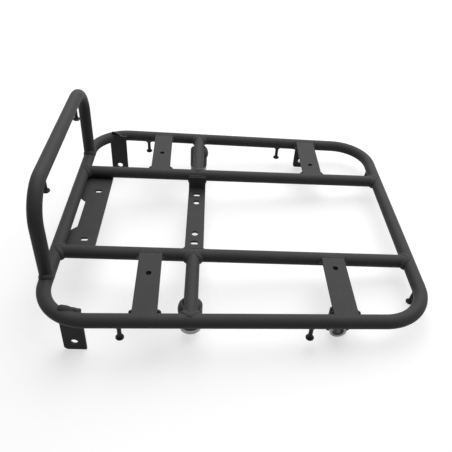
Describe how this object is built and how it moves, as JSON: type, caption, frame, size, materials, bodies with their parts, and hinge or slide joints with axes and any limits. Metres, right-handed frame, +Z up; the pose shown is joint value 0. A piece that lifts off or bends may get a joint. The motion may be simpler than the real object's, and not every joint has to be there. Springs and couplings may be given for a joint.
{
  "type": "motorcycle luggage rack",
  "caption": "Welded tubular luggage rack for a motorcycle tail, with an upright end hoop, slotted flat plates, fixing legs and pegs for a cord.",
  "frame": {"origin": "middle of the rack's outline, at the height of the long legs' lower ends", "axes": "+X along the deck from the hoop end to the open end, +Y across it, +Z up; the deck is level"},
  "size_m": [0.442, 0.3992, 0.181],
  "materials": {
    "powder_coat": "satin black powder coat over steel",
    "zinc_plate": "bright zinc plating, dulled"
  },
  "bodies": {
    "root": {"outer_loop_tube": "powder_coat", "inner_rail_near": "powder_coat", "inner_rail_far": "powder_coat", "end_hoop_tube": "powder_coat", "cross_stub_near": "powder_coat", "cross_stub_far": "powder_coat", "centre_strip": "powder_coat", "hoop_end_plate": "powder_coat", "side_plate_hoop_end_near": "powder_coat", "side_plate_hoop_end_far": "powder_coat", "side_plate_open_end_near": "powder_coat", "side_plate_open_end_far": "powder_coat", "weld_nut_hoop_end_near": "powder_coat", "weld_nut_hoop_end_far": "powder_coat", "weld_nut_open_end_near": "powder_coat", "weld_nut_open_end_far": "powder_coat", "long_leg_near": "powder_coat", "long_leg_far": "powder_coat", "short_leg_near": "powder_coat", "short_leg_far": "powder_coat", "spacer_ring_near": "zinc_plate", "spacer_ring_far": "zinc_plate", "middle_boss_near": "powder_coat", "middle_boss_far": "powder_coat", "threaded_bush_near": "zinc_plate", "threaded_bush_far": "zinc_plate", "cord_peg_rail_hoop_end_near": "powder_coat", "cord_peg_rail_hoop_end_far": "powder_coat", "cord_peg_rail_open_end_near": "powder_coat", "cord_peg_rail_open_end_far": "powder_coat", "cord_peg_end_tube_near": "powder_coat", "cord_peg_end_tube_far": "powder_coat", "cord_peg_hoop_near": "powder_coat", "cord_peg_hoop_far": "powder_coat"}
  },
  "joints": []
}
